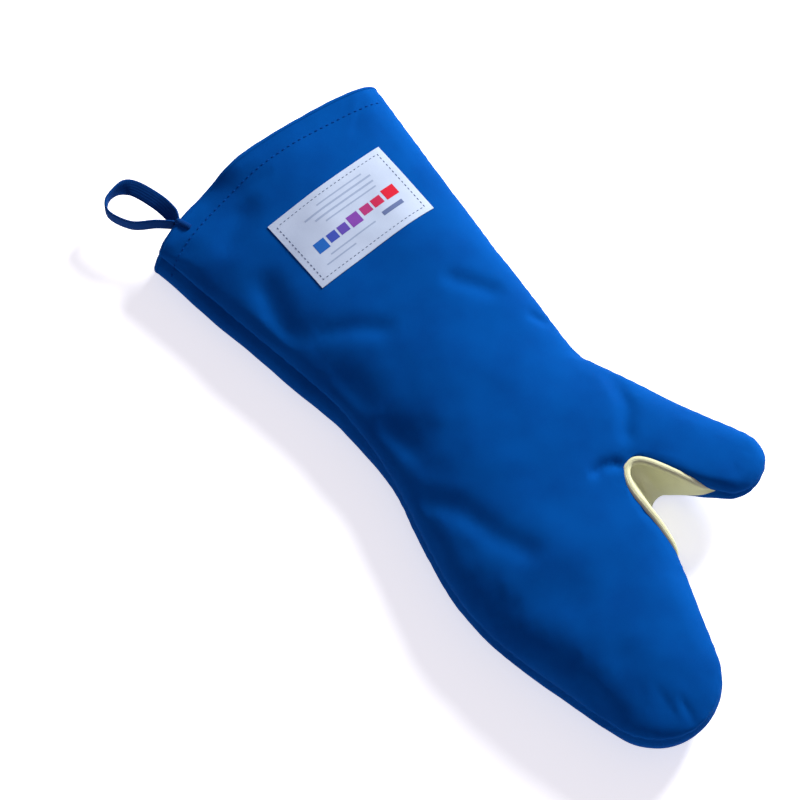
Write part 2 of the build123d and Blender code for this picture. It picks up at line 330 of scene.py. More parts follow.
REGION_NUMBER = {"back": 0, "palm": 1, "guard": 2}


class Net:
    """Which points the columns and the field have, and the faces between them."""

    def __init__(self):
        self.wall_columns, self.wall_angles = [], []
        rows = {"back": BACK_ROWS, "palm": PALM_ROWS, "guard": GUARD_ROWS}
        ends = {"back": band_end(ROUND_UP), "palm": -band_end(ROUND_LOW)}
        start = {"back": back_start, "palm": palm_start}
        self.grid = {}
        for region in ("back", "palm"):
            grid = np.zeros((COLUMNS, rows[region] + 1), int)
            for column in range(COLUMNS):
                angles = np.linspace(start[region][column], ends[region][column], rows[region] + 1)
                for row, angle in enumerate(angles):
                    joined = region == "palm" and row == 0 and guard_share[column] == 0
                    if joined:
                        grid[column, row] = self.grid["back"][column, 0]
                    else:
                        grid[column, row] = self.add(column, angle)
            self.grid[region] = grid
        guard = np.full((COLUMNS, GUARD_ROWS + 1), -1)
        for column in np.nonzero(guard_share)[0]:
            angles = np.linspace(palm_start[column], back_start[column], GUARD_ROWS + 1)
            inner = [self.add(column, angle) for angle in angles[1:-1]]
            guard[column] = [self.grid["palm"][column, 0], *inner, self.grid["back"][column, 0]]
        for column in np.nonzero(guard_share == 0)[0]:
            guard[column] = self.grid["back"][column, 0]
        self.grid["guard"] = guard
        self.walls = len(self.wall_columns)
        self.fill_field()
        self.make_faces()

    def add(self, column, angle):
        self.wall_columns.append(column)
        self.wall_angles.append(angle)
        return len(self.wall_columns) - 1

    def fill_field(self):
        """Triangles over the plan inside the columns, the same for the back and the palm."""
        ring = RIM + INWARD * BAND
        steps = round((ring[-1, 1] - ring[0, 1]) / SPACING)
        ys = np.linspace(ring[-1, 1], ring[0, 1], steps + 1)[1:-1]
        mouth = np.column_stack([cuff_x(ys), ys])
        loop = np.vstack([ring, mouth])
        self.mouth_count = len(mouth)
        x = np.arange(loop[:, 0].min(), loop[:, 0].max(), SPACING)
        y = np.arange(loop[:, 1].min(), loop[:, 1].max(), SPACING)
        gx, gy = np.meshgrid(x, y, indexing="ij")
        field = np.column_stack([gx.ravel(), gy.ravel()])
        field = field[in_loop(field, loop) & (distance_to(field, loop) > 0.55 * SPACING)]
        plan = np.vstack([loop, field])
        ring_edges = [(k, (k + 1) % len(loop)) for k in range(len(loop))]
        points = [Vector(point) for point in plan.tolist()]
        out = geometry.delaunay_2d_cdt(points, ring_edges, [], 1, 1e-4)
        original = [ids[0] for ids in out[3]]
        self.plan_faces = [[original[v] for v in face] for face in out[2]]
        self.field_plan = np.vstack([mouth, field])
        self.field_distance = distance_to(self.field_plan, RIM)
        ids = self.walls + np.arange(len(self.field_plan))
        self.field_ids = {"back": ids, "palm": ids + len(ids)}
        self.count = self.walls + 2 * len(ids)

    def make_faces(self):
        self.faces, self.regions = [], []
        for region, number in REGION_NUMBER.items():
            grid = self.grid[region]
            for column in range(COLUMNS - 1):
                for row in range(grid.shape[1] - 1):
                    face = [*grid[column : column + 2, row], *grid[column : column + 2, row + 1][::-1]]
                    if region == "palm":
                        face.reverse()
                    face = [v for k, v in enumerate(face) if v != face[k - 1]]
                    if len(face) > 2:
                        self.faces.append(face)
                        self.regions.append(number)
        for region in ("back", "palm"):
            ids = np.concatenate([self.grid[region][:, -1], self.field_ids[region]])
            for face in self.plan_faces:
                face = [ids[v] for v in face]
                if region == "palm":
                    face.reverse()
                self.faces.append(face)
                self.regions.append(REGION_NUMBER[region])

    def positions(self, depth):
        """Where every point lies on the layer that is depth below the shell's outer face."""
        walls = wall_point(np.array(self.wall_columns), np.array(self.wall_angles), depth)
        plan = self.field_plan
        waist, width_up, width_low = by_column(plan)
        shares = []
        for width in (width_up, width_low):
            inwards = np.clip((self.field_distance - depth) / np.maximum(width - depth, 1), 0, 1)
            shares.append((1 - (1 - inwards) ** EDGE_POWER) ** (1 / EDGE_POWER))
        top = waist + (by_place(plan, BACK_KNOTS) - waist - depth) * shares[0]
        low = waist - (waist - depth) * shares[1]
        return lifted(np.vstack([walls, np.column_stack([plan, top]), np.column_stack([plan, low])]))


def lifted(points):
    """Points with the thumb's palm side raised off the floor towards its tip."""
    out = (points[:, :2] - THUMB_ROOT) @ unit(THUMB_TIP - THUMB_ROOT)
    rise = THUMB_LIFT * smoothstep(18, 85, out) * smoothstep(44, 54, points[:, 1])
    points[:, 2] += rise * np.maximum(1 - points[:, 2] / SEAM_Z, 0)
    return points


def in_loop(points, loop):
    """Which points lie inside a closed loop."""
    inside = np.zeros(len(points), bool)
    for (x0, y0), (x1, y1) in zip(loop, np.roll(loop, -1, axis=0)):
        crosses = (y0 > points[:, 1]) != (y1 > points[:, 1])
        at = x0 + (points[:, 1] - y0) / (y1 - y0 + 1e-12) * (x1 - x0)
        inside ^= crosses & (points[:, 0] < at)
    return inside


def distance_to(points, path):
    """Each point's distance to a path of straight pieces."""
    start, way = path[:-1], np.diff(path, axis=0)
    best = np.full(len(points), np.inf)
    for a, d in zip(start, way):
        t = np.clip(((points - a) @ d) / (d @ d), 0, 1)
        best = np.minimum(best, np.linalg.norm(points - a - t[:, None] * d, axis=1))
    return best


def by_column(plan):
    """The waist's height and the two widths of rounding at places inside, from the columns nearest."""
    values = np.column_stack([WAIST, ROUND_UP, ROUND_LOW])
    result = np.zeros((len(plan), 3))
    for first in range(0, len(plan), 500):
        part = plan[first : first + 500]
        gap = ((part[:, None, :] - RIM[None, :, :]) ** 2).sum(axis=2)
        weight = 1.0 / (gap + COLUMN_REACH**2) ** 2
        result[first : first + 500] = weight @ values / weight.sum(axis=1)[:, None]
    return result.T


net = Net()


def object_from(name, points, faces):
    """A new mesh object, from points in millimetres."""
    mesh = bpy.data.meshes.new(name)
    mesh.from_pydata((np.asarray(points) * MM).tolist(), [], [list(map(int, face)) for face in faces])
    mesh.validate()
    mesh.shade_smooth()
    piece = bpy.data.objects.new(name, mesh)
    bpy.context.scene.collection.objects.link(piece)
    return piece


# ---------------------------------------------------------------- layers of the net
def edge_ends(faces):
    """Both ends of every edge, each way round, as two arrays of point numbers."""
    pairs = {(min(a, b), max(a, b)) for face in faces for a, b in zip(face, face[1:] + face[:1])}
    pairs = np.array(sorted(pairs))
    return np.concatenate([pairs[:, 0], pairs[:, 1]]), np.concatenate([pairs[:, 1], pairs[:, 0]])


EDGE_FROM, EDGE_TO = edge_ends([list(map(int, face)) for face in net.faces])
VALENCE = np.bincount(EDGE_FROM, minlength=net.count)

MOUTH = np.concatenate([  # the cuff's edge, all the way round
    net.grid["palm"][0, ::-1], net.grid["back"][0, 1:], net.field_ids["back"][: net.mouth_count][::-1],
    net.grid["back"][-1, ::-1], net.grid["palm"][-1, 1:], net.field_ids["palm"][: net.mouth_count],
])
SEAM = np.unique(np.concatenate([net.grid["back"][:, 0], net.grid["palm"][:, 0]]))
INSIDE = np.zeros(net.count, bool)  # the points whose heights are evened out
INSIDE[net.walls :] = True
for region in ("back", "palm"):
    INSIDE[net.grid[region][8:-8, -2:].ravel()] = True
INSIDE[MOUTH] = False


def evened(heights, rounds=14):
    """Heights evened out with their neighbours', away from the walls."""
    for _ in range(rounds):
        mean = np.bincount(EDGE_FROM, weights=heights[EDGE_TO], minlength=net.count) / VALENCE
        heights = np.where(INSIDE, mean, heights)
    return heights


def evenly(path, gap):
    """Points evenly spread along a path."""
    path = np.asarray(path, float)
    travel = travelled(path)
    at = np.linspace(0, travel[-1], max(2, round(travel[-1] / gap) + 1))
    return np.column_stack([np.interp(at, travel, path[:, k]) for k in range(path.shape[1])])


def creased(points, spread=1.0):
    """Points of the back, sunk into its soft creases, which fade at their ends; spread widens them."""
    sunk = np.zeros(len(points))
    for depth, width, path in CREASES:
        line = evenly(path, 1.0)
        number = np.arange(len(line))
        from_end = np.minimum(number, number[::-1])
        away = np.linalg.norm(points[:, None, :2] - line[None], axis=2)
        closest = away.argmin(axis=1)
        share = smoothstep(-1, 2 * width, from_end)[closest]
        sunk += depth * share * np.exp(-((away.min(axis=1) / (width * spread)) ** 2))
    points = points.copy()
    points[:, 2] -= sunk * smoothstep(SEAM_Z - 2, SEAM_Z + 6, points[:, 2])
    return points


def layer(depth):
    """The net at one depth under the shell's outer face, before the cloth settles."""
    points = net.positions(depth)
    points[:, 2] = evened(points[:, 2])
    return points


def settled(points, pins):
    """The points after pressure has filled out the cloth between the pinned ones."""
    piece = object_from("settling", points, net.faces)
    group = piece.vertex_groups.new(name="pinned")
    for weight, ids in pins:
        group.add([int(v) for v in ids], weight, "REPLACE")
    cloth = piece.modifiers.new("cloth", "CLOTH")
    settings = cloth.settings
    settings.quality = 6
    settings.mass = 0.2
    settings.tension_stiffness = settings.compression_stiffness = 12
    settings.bending_stiffness = 0.4
    settings.use_pressure = True
    settings.uniform_pressure_force = 4
    settings.vertex_group_mass = "pinned"
    settings.effector_weights.gravity = 0
    cloth.point_cache.frame_start, cloth.point_cache.frame_end = 1, SETTLE_FRAMES
    for step in range(1, SETTLE_FRAMES + 1):
        bpy.context.scene.frame_set(step)
    mesh = piece.evaluated_get(bpy.context.evaluated_depsgraph_get()).to_mesh()
    moved = np.array([v.co for v in mesh.vertices]) / MM - points
    bpy.data.objects.remove(piece)
    bpy.context.scene.frame_set(1)
    length = np.linalg.norm(moved, axis=1)
    print("settled by", round(length.mean(), 2), "mm on average and", round(length.max(), 2), "at most")
    return points + moved * (np.minimum(length, SETTLE_LIMIT) / np.maximum(length, 1e-9))[:, None]


def normals_of(points, faces):
    """Each point's normal on the mesh that these faces make."""
    mesh = bpy.data.meshes.new("normals")
    mesh.from_pydata(points.tolist(), [], faces)
    normals = np.array([v.vector for v in mesh.vertex_normals])
    bpy.data.meshes.remove(mesh)
    return normals


def uneven(points):
    """Small hills and hollows of hand-sewn padding, in mm, at each point."""
    hills = np.zeros(len(points))
    for size, height in (WIDE_HILLS, NARROW_HILLS):
        hills += height * np.array([noise.noise(Vector(point) / size) for point in points])
    return hills


FACES = [list(map(int, face)) for face in net.faces]
unsettled = layer(0.0)
base = unsettled
on_floor = np.nonzero(unsettled[:, 2] < 1.0)[0]
base = settled(unsettled, [(0.5, SEAM), (1.0, MOUTH), (1.0, on_floor)])
base = base + normals_of(base, FACES) * (uneven(base) * smoothstep(1, 8, base[:, 2]))[:, None]
base[:, 2] = np.maximum(base[:, 2], 0.0)
GIVE = base - unsettled  # what settling and unevenness did, which the inner layers follow


def inner_layer(depth):
    """The net at one depth, settled and creased with the shell."""
    return creased(layer(depth) + GIVE, spread=1.6)


# ---------------------------------------------------------------- the shell's fine surface
def cloth_map():
    """Flat places on the cloth for every point of the net, for its weave to follow."""
    flat = np.column_stack([base[:, :2], np.zeros(net.count)])
    rise = np.zeros(net.walls)
    for region in ("back", "palm", "guard"):
        grid = net.grid[region]
        steps = np.linalg.norm(np.diff(base[grid], axis=1), axis=2)
        to_band = np.column_stack([np.cumsum(steps[:, ::-1], axis=1)[:, ::-1], np.zeros(COLUMNS)])
        used = grid >= 0
        rise[grid[used]] = to_band[used]
    columns = np.array(net.wall_columns)
    flat[: net.walls, :2] = (RIM + INWARD * BAND)[columns] - INWARD[columns] * rise[:, None]
    return flat


def divided(points, faces, regions, flat):
    """The net divided once more and rounded, with its seams kept sharp."""
    piece = object_from("divided", points, faces)
    mesh = piece.data
    seam = set(SEAM.tolist())
    sharp = [float(a in seam and b in seam) for a, b in (edge.vertices for edge in mesh.edges)]
    for name, kind, domain, field, values in (
        ("flat", "FLOAT_VECTOR", "POINT", "vector", flat.astype(np.float32).ravel()),
        ("region", "INT", "FACE", "value", regions),
        ("crease_edge", "FLOAT", "EDGE", "value", sharp),
    ):
        mesh.attributes.new(name, kind, domain).data.foreach_set(field, values)
    divide = piece.modifiers.new("divide", "SUBSURF")
    divide.levels = divide.render_levels = 1
    fine = piece.evaluated_get(bpy.context.evaluated_depsgraph_get()).to_mesh()
    result = (
        np.array([v.co for v in fine.vertices]) / MM,
        [list(polygon.vertices) for polygon in fine.polygons],
        np.array([item.value for item in fine.attributes["region"].data]),
        np.array([item.vector for item in fine.attributes["flat"].data]),
    )
    bpy.data.objects.remove(piece)
    return result


def nearest(points, targets):
    """The nearest target to each point, and how far it is."""
    tree = kdtree.KDTree(len(targets))
    for number, target in enumerate(targets):
        tree.insert(target, number)
    tree.balance()
    found = [tree.find(point) for point in points]
    return np.array([number for _, number, _ in found]), np.array([gap for _, _, gap in found])


def puckered(points, normals):
    """Points drawn in between the stitches beside the seam."""
    seam_line = base[net.grid["back"][:, 0]]
    column, gap = nearest(points, seam_line)
    wave = np.sin(2 * math.pi * TRAVEL[column] / PUCKER_PERIOD + 2.5 * np.sin(TRAVEL[column] / 31))
    return points + normals * (PUCKER_DEPTH * wave * np.exp(-((gap / PUCKER_REACH) ** 2)))[:, None]


FLAT = cloth_map()
fine, fine_faces, fine_regions, fine_flat = divided(base, FACES, net.regions, FLAT)
fine = creased(fine)
fine_normals = normals_of(fine, fine_faces)
fine = puckered(fine, fine_normals)
fine[:, 2] = np.maximum(fine[:, 2], 0.0)


# ---------------------------------------------------------------- materials
def set_inputs(node, values):
    """Give a node's inputs these values, by name."""
    for name, value in values.items():
        node.inputs[name].default_value = value


def mixed_value(nodes, links, operation, *values):
    """The output of a Math node, whose inputs are sockets or numbers."""
    node = nodes.new("ShaderNodeMath")
    node.operation = operation
    for socket, value in zip(node.inputs, values):
        if isinstance(value, bpy.types.NodeSocket):
            links.new(value, socket)
        else:
            socket.default_value = value
    return node.outputs["Value"]


def material(name, colour, shade, thread=0.55, relief=0.15, rough=0.85, sheen=0.1):
    """Woven cloth: its threads, fibres and slow changes of colour, at real scale."""
    made = bpy.data.materials.new(name)
    made.use_nodes = True
    nodes, links = made.node_tree.nodes, made.node_tree.links
    shader = nodes["Principled BSDF"]
    where = nodes.new("ShaderNodeAttribute")
    where.attribute_name = "cloth"
    waves = []
    for direction in ("X", "Y"):
        wave = nodes.new("ShaderNodeTexWave")
        wave.bands_direction = direction
        scale = 2 * math.pi / (20 * thread * MM)
        set_inputs(wave, {"Scale": scale, "Distortion": 0.8, "Detail": 1.0})
        links.new(where.outputs["Vector"], wave.inputs["Vector"])
        waves.append(wave.outputs["Fac"])
    weave = mixed_value(nodes, links, "MAXIMUM", *waves)
    fibre, slow = nodes.new("ShaderNodeTexNoise"), nodes.new("ShaderNodeTexNoise")
    set_inputs(fibre, {"Scale": 1100, "Detail": 4})
    set_inputs(slow, {"Scale": 30, "Detail": 6})
    for texture in (fibre, slow):
        links.new(where.outputs["Vector"], texture.inputs["Vector"])
    height = mixed_value(nodes, links, "MULTIPLY_ADD", fibre.outputs["Fac"], 0.7, weave)
    bump = nodes.new("ShaderNodeBump")
    set_inputs(bump, {"Strength": 0.6, "Distance": relief * MM})
    links.new(height, bump.inputs["Height"])
    links.new(bump.outputs["Normal"], shader.inputs["Normal"])
    tone = mixed_value(nodes, links, "MULTIPLY_ADD", weave, 0.3, slow.outputs["Fac"])
    tone = mixed_value(nodes, links, "MULTIPLY_ADD", fibre.outputs["Fac"], 0.3, tone)
    ramp = nodes.new("ShaderNodeValToRGB")
    low, high = ramp.color_ramp.elements
    low.position, low.color = 0.55, (*shade, 1)
    high.position, high.color = 1.15, (*colour, 1)
    links.new(tone, ramp.inputs["Fac"])
    links.new(ramp.outputs["Color"], shader.inputs["Base Color"])
    set_inputs(shader, {
        "Roughness": rough,
        "Specular IOR Level": 0.02,
        "Sheen Weight": sheen,
        "Sheen Roughness": 0.5,
        "Sheen Tint": (*colour, 1),
    })
    return made


BLUE = material("shell_cloth", (0.0, 0.064, 0.285), (0.0, 0.046, 0.225), sheen=0.02)
BLUE_THREAD = material("shell_thread", (0.002, 0.050, 0.25), (0.001, 0.034, 0.18), thread=0.3)
TAPE = material("loop_tape", (0.003, 0.040, 0.18), (0.002, 0.026, 0.125), thread=0.9, relief=0.3)
CREAM = material("web_guard_cloth", (0.66, 0.67, 0.42), (0.56, 0.56, 0.33), thread=0.8, relief=0.3)
FLEECE = material(
    "lining_fleece", (0.52, 0.53, 0.48), (0.40, 0.41, 0.36), thread=1.5, relief=0.6, sheen=0.5
)
BATT = material(
    "insulation_batt", (0.62, 0.62, 0.58), (0.5, 0.5, 0.46), thread=2.5, relief=0.8, sheen=0.4
)
FILM = material(
    "barrier_film", (0.55, 0.57, 0.60), (0.45, 0.47, 0.50), thread=1.0, relief=0.05, rough=0.35
)
LABEL = material("label_cloth", (0.46, 0.54, 0.66), (0.40, 0.48, 0.60), thread=0.3, relief=0.06)
GREY_THREAD = material("label_thread", (0.13, 0.17, 0.26), (0.08, 0.11, 0.18), thread=0.3)

# ---------------------------------------------------------------- pieces of the layers
JOINTS = {joint["name"]: joint for joint in frame["joints"]}


def across(joint, before, after):
    """Points in the frame at distances before and after a soft hinge, in mm."""
    at, way = Vector(joint["pos_m"]), Vector(joint["axis"]).normalized()
    out = Vector((abs(way.y), abs(way.x), 0))
    return at + out * before * MM, at + out * after * MM


# Each zone lies across one joint, and is cut where it moves with the hand alone
ZONES = {
    "sleeve": ("gauntlet", "hand", *across(JOINTS["wrist_bend"], -26, 24)),
    "grip": ("hand", "thumb", *across(JOINTS["thumb_fold"], -6, 20)),
    "tip": ("hand", "fingers", *across(JOINTS["finger_curl"], -30, 30)),
}
ZONE_NODES = {  # how the names of the CAD nodes in each zone end
    "sleeve": ("gauntlet", "wrist_fold", "wrist_back_fold"),
    "grip": ("hand", "thumb", "thumb_fold"),
    "tip": ("fingers", "finger_fold"),
}
FOLD_SIDES = {"wrist_fold": "palm", "wrist_back_fold": "back"}  # the folds that one side has alone


def zones_of(points, faces):
    """The zone that each face is in."""
    middle = np.array([points[face].mean(axis=0) for face in faces])
    tip = (middle[:, 0] > TIP_CUT) & (middle[:, 1] < FORK[1] + 2)
    return np.where(middle[:, 0] < SLEEVE_CUT, "sleeve", np.where(tip, "tip", "grip"))


def clothed(piece, flat, paint, slot):
    """The piece with its paint, and the flat places on its cloth that the paint follows."""
    attribute = piece.data.attributes.new("cloth", "FLOAT_VECTOR", "POINT")
    attribute.data.foreach_set("vector", (np.asarray(flat) * MM).astype(np.float32).ravel())
    piece.data.materials.append(paint)
    return piece


def ply(name, outer, inner, faces, normals, flat, paint, slot):
    """A closed piece of cloth between two faces of a layer, shaded with the normals given."""
    used = np.unique(np.concatenate(faces))
    count = len(used)
    number = {v: k for k, v in enumerate(used.tolist())}
    top = [[number[v] for v in face] for face in faces]
    below = [[v + count for v in reversed(face)] for face in top]
    ways = {(a, b) for face in top for a, b in zip(face, face[1:] + face[:1])}
    rim = [[b, a, a + count, b + count] for a, b in sorted(ways) if (b, a) not in ways]
    piece = object_from(name, np.vstack([outer[used], inner[used]]), top + below + rim)
    shading = np.vstack([normals[used], -normals[used]])
    piece.data.normals_split_custom_set_from_vertices(shading.tolist())
    return clothed(piece, np.vstack([flat[used], flat[used]]), paint, slot)


def cut_layer(layer_name, outer, inner, faces, sides, flat, paint, slot):
    """A layer's pieces: one for each of its sides in each zone, each standing for its CAD nodes."""
    zones = zones_of(outer, faces)
    for side in sorted(set(sides)):
        mine = [face for face, own in zip(faces, sides) if own == side]
        normals = normals_of(outer, mine)
        stem = f"{layer_name}_{side}" if side else layer_name
        for zone, (body, other, start, end) in ZONES.items():
            part = [face for face, own, z in zip(faces, sides, zones) if own == side and z == zone]
            piece = ply(f"{stem}_{zone}", outer, inner, part, normals, flat, paint, slot)
            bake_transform(piece)
            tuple(start)
            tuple(end)
            for where in ZONE_NODES[zone]:
                if f"{stem}_{where}" in frame["nodes"]:
                    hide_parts(f"{stem}_{where}")
                elif side == FOLD_SIDES.get(where, side):
                    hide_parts(f"{layer_name}_{where}")
            yield piece


SIDE_OF = np.array(list(REGION_NUMBER))
shell_sides = SIDE_OF[fine_regions]
in_shell = [k for k, side in enumerate(shell_sides) if side != "guard"]
shell_faces = [fine_faces[k] for k in in_shell]
fine_inside = fine - normals_of(fine, fine_faces) * SHELL
fine_inside[:, 2] = np.maximum(fine_inside[:, 2], SHELL / 2)
for piece in cut_layer(
    "shell", fine, fine_inside, shell_faces, shell_sides[in_shell], fine_flat, BLUE, "shell_cloth"
):
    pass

guard_faces = [face for face, side in zip(fine_faces, shell_sides) if side == "guard"]
guard_normals = normals_of(fine, guard_faces)
guard = ply(
    "guard_cloth", fine, fine_inside, guard_faces, guard_normals, fine_flat, CREAM, "web_guard_cloth"
)
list(ZONES["grip"])
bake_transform(guard)
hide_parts("web_guard_finger_wing", "web_guard_thumb_wing", "web_guard_fold")

# Behind the guard, the inner layers' back and palm meet at the seam's height
heights = np.array([base[face, 2].mean() for face in FACES])
by_height = np.where(heights > SEAM_Z, "back", "palm")
inner_sides = np.where(np.array(net.regions) == REGION_NUMBER["guard"], by_height, SIDE_OF[net.regions])
no_sides = np.full(len(FACES), "")
depth = SHELL
for layer_name, thickness, paint, slot in (
    ("barrier", BARRIER, FILM, "barrier_film"),
    ("insulation", BATT_DEPTH, BATT, "insulation_batt"),
    ("lining", LINING, FLEECE, "lining_fleece"),
):
    sides = no_sides if layer_name == "barrier" else inner_sides
    outer, inner = inner_layer(depth), inner_layer(depth + thickness)
    for piece in cut_layer(layer_name, outer, inner, FACES, sides, FLAT, paint, slot):
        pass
    depth += thickness

# ---------------------------------------------------------------- sewn-on pieces
outside = bvhtree.BVHTree.FromPolygons(fine.tolist(), fine_faces)


def on_surface(x, y, from_below=False):
    """The place on the shell straight above or below a point of the plan, and its normal."""
    start, way = ((x, y, -50), (0, 0, 1)) if from_below else ((x, y, 100), (0, 0, -1))
    hit, normal, _, _ = outside.ray_cast(Vector(start), Vector(way))
    if hit is None:
        return None, None
    normal = np.array(normal)
    return np.array(hit), normal if normal @ np.array(way) < 0 else -normal


def flat_map(along, over):
    """Flat places on the cloth of rows of points, from how far along and over each one is."""
    return np.array([(a, o, 0.0) for a in along for o in over])


def roll_map(rings, sides, gap):
    """Flat places on the cloth of a roll, whose rings of points are a gap apart."""
    return flat_map(np.arange(rings) * gap, np.arange(sides) * ROLL_GRAIN)


def tube_faces(rings, sides, closed=False):
    """Faces between rings of points; a closed tube goes on from its last ring to its first."""
    return [
        [ring * sides + side, ring * sides + (side + 1) % sides,
         (ring + 1) % rings * sides + (side + 1) % sides, (ring + 1) % rings * sides + side]
        for ring in range(rings if closed else rings - 1) for side in range(sides)
    ]


def swept(path, wide, half_width, half_thick, sides=10, power=2.0, taper=0):
    """Points and faces of a bar along a path; wide is each place's direction across the bar."""
    path, wide = np.asarray(path, float), np.asarray(wide, float)
    along = unit(np.gradient(path, axis=0))
    wide = unit(wide - along * (wide * along).sum(axis=1)[:, None])
    thin = np.cross(along, wide)
    count = len(path)
    place = np.linspace(-1, 1, count)
    scale = np.sqrt(np.clip(1.0 - np.abs(place) ** taper, 0.02, 1)) if taper else np.ones(count)
    angle = np.linspace(0, 2 * math.pi, sides, endpoint=False)
    across_bar = np.sign(np.cos(angle)) * np.abs(np.cos(angle)) ** (2 / power) * half_width
    through_bar = np.sign(np.sin(angle)) * np.abs(np.sin(angle)) ** (2 / power) * half_thick
    rings = path[:, None] + scale[:, None, None] * (
        wide[:, None] * across_bar[None, :, None] + thin[:, None] * through_bar[None, :, None]
    )
    ends = [list(range(sides))[::-1], list(range((count - 1) * sides, count * sides))]
    return rings.reshape(-1, 3), tube_faces(count, sides) + ends


def smooth_through(knots, gap):
    """Points evenly spread along a smooth curve through the knots."""
    knots = np.asarray(knots, float)
    ends = np.vstack([2 * knots[0] - knots[1], knots, 2 * knots[-1] - knots[-2]])
    t = np.linspace(0, 1, 16, endpoint=False)[:, None]
    spans = []
    for a, b, c, d in zip(ends, ends[1:], ends[2:], ends[3:]):
        square, cube = 2 * a - 5 * b + 4 * c - d, 3 * b - a - 3 * c + d
        spans.append(b + (t * (c - a) + t**2 * square + t**3 * cube) / 2)
    return evenly(np.vstack([*spans, knots[-1:]]), gap)


def joined(name, parts):
    """One object from several parts' points and faces."""
    points, faces, count = [], [], 0
    for part_points, part_faces in parts:
        points.append(part_points)
        faces += [[v + count for v in face] for face in part_faces]
        count += len(part_points)
    return object_from(name, np.vstack(points), faces)


def stitches(name, paths, paint, slot, length=2.6, gap=1.3, thread=0.45):
    """A row of stitches along each path of places with normals, in mm, each half sunk in the cloth."""
    parts = []
    for path in paths:
        dense = evenly(path, STITCH_STEP)
        step, stitch = round((length + gap) / STITCH_STEP), round(length / STITCH_STEP)
        for first in range(0, len(dense) - stitch, step):
            run = dense[first : first + stitch + 1 : max(1, stitch // 5)]
            places, normals = run[:, :3], run[:, 3:]
            bow = thread * 0.5 * (1 - np.linspace(-1, 1, len(run)) ** 2) - STITCH_SUNK
            wide = np.cross(np.gradient(places, axis=0), normals)
            line = places + normals * bow[:, None]
            parts.append(swept(line, wide, thread, thread * 0.75, sides=6, taper=4))
    piece = joined(name, parts)
    flat = np.array([v.co for v in piece.data.vertices]) / MM
    return clothed(piece, flat, paint, slot)


def surface_path(plan, from_below=False):
    """Places and normals on the shell, straight above or below a path of the plan."""
    found = [on_surface(x, y, from_below) for x, y in plan]
    return np.array([np.concatenate([place, normal]) for place, normal in found if place is not None])


def cuff_roll():
    """The cuff's rolled hem, from the shell round to the lining."""
    outer, inner = base[MOUTH], (layer(WALL) + GIVE)[MOUTH]
    slope = (cuff_x(outer[:, 1] + 1) - cuff_x(outer[:, 1] - 1)) / 2
    out = unit(np.column_stack([-np.ones(len(outer)), slope, np.zeros(len(outer))]))
    angles = np.linspace(-HEM_LAP, math.pi + HEM_LAP, HEM_SIDES)
    middle, half = (outer + inner) / 2, (outer - inner) / 2
    count = len(outer)
    ripple = sum(height * np.sin(np.arange(count) * pace) for height, pace in HEM_RIPPLES)
    rings = (
        middle[:, None] + half[:, None] * (np.cos(angles) * HEM_SPREAD)[None, :, None]
        + out[:, None] * (np.sin(angles)[None, :] * (HEM_DEPTH + ripple[:, None]))[:, :, None]
    )
    piece = object_from("cuff_roll", rings.reshape(-1, 3), tube_faces(count, HEM_SIDES, closed=True))
    clothed(piece, roll_map(count, HEM_SIDES, SPACING), BLUE, "shell_cloth")
    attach(piece, "gauntlet")
    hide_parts("cuff_hem")
    return piece


def consistent(piece):
    """The piece with all its faces turned outwards."""
    turned = bmesh.new()
    turned.from_mesh(piece.data)
    bmesh.ops.recalc_face_normals(turned, faces=turned.faces)
    turned.to_mesh(piece.data)
    turned.free()
    return piece


consistent(cuff_roll())

rows = np.linspace(CUFF_EDGE[-1][1] + 6, CUFF_EDGE[0][1] - 4, 500)
plan = np.column_stack([cuff_x(rows) + CUFF_STITCH_INSET, rows])
paths = [surface_path(plan), surface_path(plan, from_below=True)]
piece = stitches("cuff_stitches", paths, BLUE_THREAD, "shell_thread")
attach(consistent(piece), "gauntlet")
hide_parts("cuff_stitching")


# The label, laid on the back and sewn round its edge
def label_place(along, over, height=0.0):
    """Place and normal of a point of the label, from its middle, in mm."""
    turn = math.radians(LABEL_TURN)
    x = LABEL_AT[0] + along * math.cos(turn) - over * math.sin(turn)
    y = LABEL_AT[1] + along * math.sin(turn) + over * math.cos(turn)
    place, normal = on_surface(x, y)
    return np.concatenate([place + normal * height, normal])


def patch(name, centre, size, under, top, paint, slot, cell=3.0):
    """A thin closed patch that follows the shell, between two heights over it."""
    columns, rows = (max(1, round(side / cell)) + 1 for side in size)
    along = centre[0] + np.linspace(-size[0] / 2, size[0] / 2, columns)
    over = centre[1] + np.linspace(-size[1] / 2, size[1] / 2, rows)
    places = np.array([label_place(a, o) for a in along for o in over])
    outer, inner = places[:, :3] + places[:, 3:] * top, places[:, :3] + places[:, 3:] * under
    faces = [
        [c * rows + r, (c + 1) * rows + r, (c + 1) * rows + r + 1, c * rows + r + 1]
        for c in range(columns - 1) for r in range(rows - 1)
    ]
    return ply(name, outer, inner, faces, places[:, 3:], flat_map(along, over), paint, slot)


label = patch("mitt_label", (0, 0), LABEL_SIZE, LABEL_UNDER, LABEL_TOP, LABEL, "label_cloth")
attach(label, "gauntlet")
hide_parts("label")

inset_long, inset_wide = (side / 2 - LABEL_STITCH_INSET for side in LABEL_SIZE)
turns = ((-1, -1), (1, -1), (1, 1), (-1, 1), (-1, -1))
corners = [(inset_long * along, inset_wide * over) for along, over in turns]
border = np.array([label_place(along, over, LABEL_TOP) for along, over in evenly(corners, 1.0)])
piece = stitches(
    "label_stitches", [border], GREY_THREAD, "label_thread", length=1.8, gap=1.2, thread=0.28
)
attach(consistent(piece), "gauntlet")
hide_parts("label_stitching")

